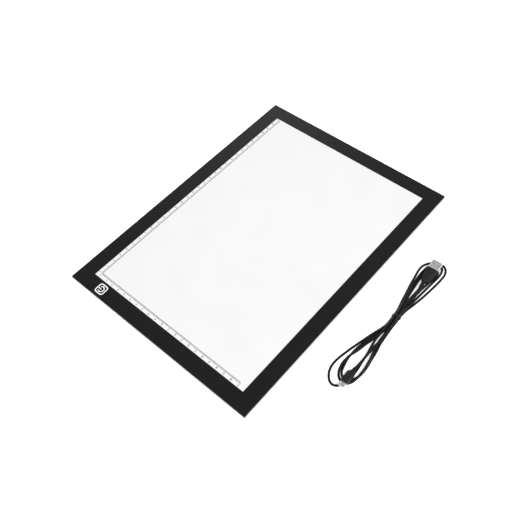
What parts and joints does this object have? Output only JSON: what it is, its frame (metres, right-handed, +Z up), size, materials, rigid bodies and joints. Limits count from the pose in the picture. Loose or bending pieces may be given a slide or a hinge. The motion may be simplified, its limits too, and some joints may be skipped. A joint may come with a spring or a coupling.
{
  "type": "light box",
  "caption": "Slim flat LED light box for tracing, with a black border, a printed centimetre ruler, a touch key and a hanked USB lead.",
  "frame": {"origin": "under the middle of the box, on the surface that its feet stand on", "axes": "+X along the box's long side, towards the end away from the touch key; +Y towards the long side with the printed ruler and the socket; +Z up, out of the lit face"},
  "size_m": [0.356, 0.3227, 0.0106],
  "materials": {
    "cover_plastic": "fine matt texture, light grey",
    "clear_acrylic": "clear, smooth, with a soft sheen",
    "black_print": "black ink printed on film",
    "diffuser_film": "milky white, lit from below",
    "light_guide_acrylic": "clear with a printed dot pattern",
    "reflector_film": "white",
    "tape_black": "adhesive tape",
    "foot_silicone": "matt grey",
    "led_strip_white": "white solder mask",
    "board_green": "green solder mask",
    "chip_black": "moulded",
    "capacitor_tan": "sintered",
    "foam_grey": "open foam",
    "copper_foil": "plain copper",
    "wire_red": "soft PVC",
    "wire_black": "soft PVC",
    "plug_steel": "nickel plated",
    "contact_gold": "gold plated",
    "insulator_black": "moulded",
    "insulator_white": "moulded",
    "cord_pvc": "satin PVC jacket",
    "tie_plastic": "plastic over wire",
    "overmould_pvc": "satin PVC moulding"
  },
  "bodies": {
    "box": {"back_cover": "cover_plastic", "foot_near_left": "foot_silicone", "foot_far_left": "foot_silicone", "foot_near_right": "foot_silicone", "foot_far_right": "foot_silicone", "reflector_sheet": "reflector_film", "light_guide": "light_guide_acrylic", "diffuser_sheet": "diffuser_film", "tape_near": "tape_black", "tape_far": "tape_black", "tape_left": "tape_black", "tape_right": "tape_black", "border_mask": "black_print", "top_panel": "clear_acrylic", "led_strip": "led_strip_white", "driver_board": "board_green", "touch_ic": "chip_black", "dimmer_mosfet": "chip_black", "capacitor_1": "capacitor_tan", "capacitor_2": "capacitor_tan", "resistor_1": "chip_black", "resistor_2": "chip_black", "resistor_3": "chip_black", "touch_foam": "foam_grey", "touch_foil": "copper_foil", "wire_red": "wire_red", "wire_black": "wire_black", "usb_socket_shell": "plug_steel", "usb_socket_tongue": "insulator_black"},
    "cord": {"cord_hank": "cord_pvc", "cord_tie": "tie_plastic", "usb_a_lead": "cord_pvc", "usb_a_overmould": "overmould_pvc", "usb_a_shell": "plug_steel", "usb_a_insulator": "insulator_white", "usb_a_contact_1": "contact_gold", "usb_a_contact_2": "contact_gold", "usb_a_contact_3": "contact_gold", "usb_a_contact_4": "contact_gold", "micro_usb_lead": "cord_pvc", "micro_usb_overmould": "overmould_pvc", "micro_usb_shell": "plug_steel", "micro_usb_insulator": "insulator_black"}
  },
  "joints": [
    {"name": "cord_lift", "type": "slide", "parent": "box", "child": "cord", "axis": [0, 0, 1], "range_m": [0, 0.12]}
  ]
}
